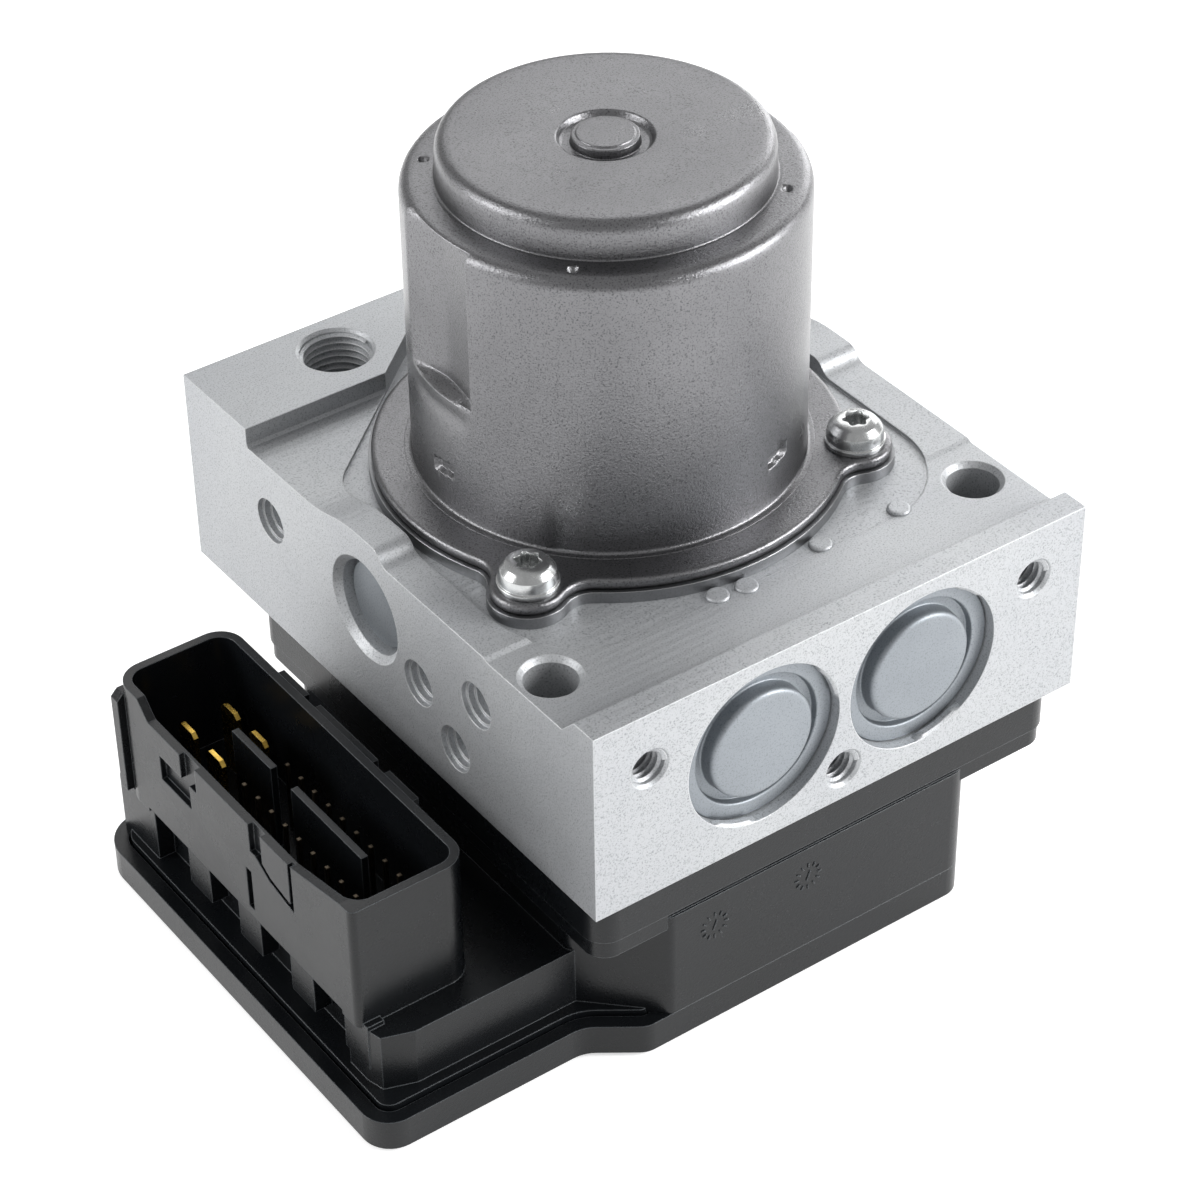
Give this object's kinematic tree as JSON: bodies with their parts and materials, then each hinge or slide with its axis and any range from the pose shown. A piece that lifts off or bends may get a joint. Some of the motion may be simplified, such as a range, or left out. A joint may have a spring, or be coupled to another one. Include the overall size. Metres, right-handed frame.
{
  "type": "anti-lock brake hydraulic unit",
  "caption": "Anti-lock brake unit: a domed motor on a drilled aluminium block with accumulator caps and ports, on a plastic electronics housing with a plug socket.",
  "frame": {"origin": "on the motor axis, at the level of the flat underside of the electronics cover", "axes": "+Z along the motor axis, upwards from the electronics housing to the motor's dome; -Y is the face of the block with the round accumulator caps; -X is the side with the plug socket"},
  "size_m": [0.1278, 0.1127, 0.1247],
  "materials": {
    "block_aluminium": "blasted aluminium",
    "board": "glass-fibre board with green solder resist",
    "brush_carbon": "pressed carbon",
    "brush_plastic": "brown moulded plastic",
    "bush_bronze": "sintered bronze",
    "can_steel": "deep-drawn steel with a satin grey plating",
    "cap_steel": "pressed steel, plated grey",
    "coil_case": "wound coil in a dark moulding",
    "commutator_copper": "bare copper segments",
    "core_steel": "stacked laminations",
    "ferrite": "sintered ferrite",
    "housing_plastic": "charcoal glass-filled plastic, half gloss",
    "piston_aluminium": "anodised aluminium",
    "plate_steel": "pressed steel, plated grey",
    "screw_zinc": "bright zinc plating",
    "seal_rubber": "moulded rubber",
    "spring_steel": "wound spring wire",
    "terminal_metal": "gold-coloured plating",
    "turned_steel": "turned and ground steel",
    "winding_copper": "enamelled copper wire"
  },
  "bodies": {
    "module": {"accumulator_cap_left": "cap_steel", "accumulator_cap_right": "cap_steel", "accumulator_spring_left": "spring_steel", "accumulator_spring_right": "spring_steel", "brush_left": "brush_carbon", "brush_plate": "brush_plastic", "brush_right": "brush_carbon", "circuit_board": "board", "dome_plugs": "turned_steel", "ecu_cover": "housing_plastic", "ecu_housing": "housing_plastic", "ecu_seal": "seal_rubber", "end_plate": "plate_steel", "face_plugs": "turned_steel", "front_bearing": "turned_steel", "housing_screws": "screw_zinc", "hydraulic_block": "block_aluminium", "inlet_valves": "turned_steel", "lead_pins": "terminal_metal", "lead_sleeve": "brush_plastic", "magnet_back": "ferrite", "magnet_front": "ferrite", "motor_can": "can_steel", "motor_screws": "screw_zinc", "motor_seal": "seal_rubber", "outlet_valves": "turned_steel", "power_blades": "terminal_metal", "pump_plug_left": "cap_steel", "pump_plug_right": "cap_steel", "pump_sleeve_left": "turned_steel", "pump_sleeve_right": "turned_steel", "pump_spring_left": "spring_steel", "pump_spring_right": "spring_steel", "rear_bearing": "bush_bronze", "signal_pins": "terminal_metal", "valve_coils": "coil_case"},
    "rotor": {"motor_shaft": "turned_steel", "armature_core": "core_steel", "armature_winding": "winding_copper", "commutator": "commutator_copper"},
    "cam_ring": {"cam_ring": "turned_steel"},
    "pump_piston_left": {"pump_piston_left": "turned_steel"},
    "pump_piston_right": {"pump_piston_right": "turned_steel"},
    "accumulator_piston_left": {"accumulator_piston_left": "piston_aluminium", "accumulator_ring_left": "seal_rubber"},
    "accumulator_piston_right": {"accumulator_piston_right": "piston_aluminium", "accumulator_ring_right": "seal_rubber"},
    "inlet_armature_1": {"inlet_armature_1": "turned_steel"},
    "inlet_armature_2": {"inlet_armature_2": "turned_steel"},
    "inlet_armature_3": {"inlet_armature_3": "turned_steel"},
    "inlet_armature_4": {"inlet_armature_4": "turned_steel"},
    "outlet_armature_1": {"outlet_armature_1": "turned_steel"},
    "outlet_armature_2": {"outlet_armature_2": "turned_steel"},
    "outlet_armature_3": {"outlet_armature_3": "turned_steel"},
    "outlet_armature_4": {"outlet_armature_4": "turned_steel"}
  },
  "joints": [
    {"name": "rotor_spin", "type": "hinge", "parent": "module", "child": "rotor", "pos_m": [0, 0, 0.0836], "axis": [0, 0, 1], "continuous": true},
    {"name": "cam_ring_spin", "type": "hinge", "parent": "rotor", "child": "cam_ring", "pos_m": [0, 0.001, 0.0548], "axis": [0, 0, 1], "continuous": true},
    {"name": "pump_piston_left_slide", "type": "slide", "parent": "module", "child": "pump_piston_left", "axis": [-1, 0, 0], "range_m": [0, 0.002], "deforming": ["pump_spring_left"]},
    {"name": "pump_piston_right_slide", "type": "slide", "parent": "module", "child": "pump_piston_right", "axis": [1, 0, 0], "range_m": [0, 0.002], "deforming": ["pump_spring_right"]},
    {"name": "accumulator_left_slide", "type": "slide", "parent": "module", "child": "accumulator_piston_left", "axis": [0, -1, 0], "range_m": [0, 0.008], "deforming": ["accumulator_spring_left"]},
    {"name": "accumulator_right_slide", "type": "slide", "parent": "module", "child": "accumulator_piston_right", "axis": [0, -1, 0], "range_m": [0, 0.008], "deforming": ["accumulator_spring_right"]},
    {"name": "inlet_armature_1_lift", "type": "slide", "parent": "module", "child": "inlet_armature_1", "axis": [0, 0, 1], "range_m": [0, 0.0003]},
    {"name": "inlet_armature_2_lift", "type": "slide", "parent": "module", "child": "inlet_armature_2", "axis": [0, 0, 1], "range_m": [0, 0.0003]},
    {"name": "inlet_armature_3_lift", "type": "slide", "parent": "module", "child": "inlet_armature_3", "axis": [0, 0, 1], "range_m": [0, 0.0003]},
    {"name": "inlet_armature_4_lift", "type": "slide", "parent": "module", "child": "inlet_armature_4", "axis": [0, 0, 1], "range_m": [0, 0.0003]},
    {"name": "outlet_armature_1_lift", "type": "slide", "parent": "module", "child": "outlet_armature_1", "axis": [0, 0, 1], "range_m": [0, 0.0003]},
    {"name": "outlet_armature_2_lift", "type": "slide", "parent": "module", "child": "outlet_armature_2", "axis": [0, 0, 1], "range_m": [0, 0.0003]},
    {"name": "outlet_armature_3_lift", "type": "slide", "parent": "module", "child": "outlet_armature_3", "axis": [0, 0, 1], "range_m": [0, 0.0003]},
    {"name": "outlet_armature_4_lift", "type": "slide", "parent": "module", "child": "outlet_armature_4", "axis": [0, 0, 1], "range_m": [0, 0.0003]}
  ]
}
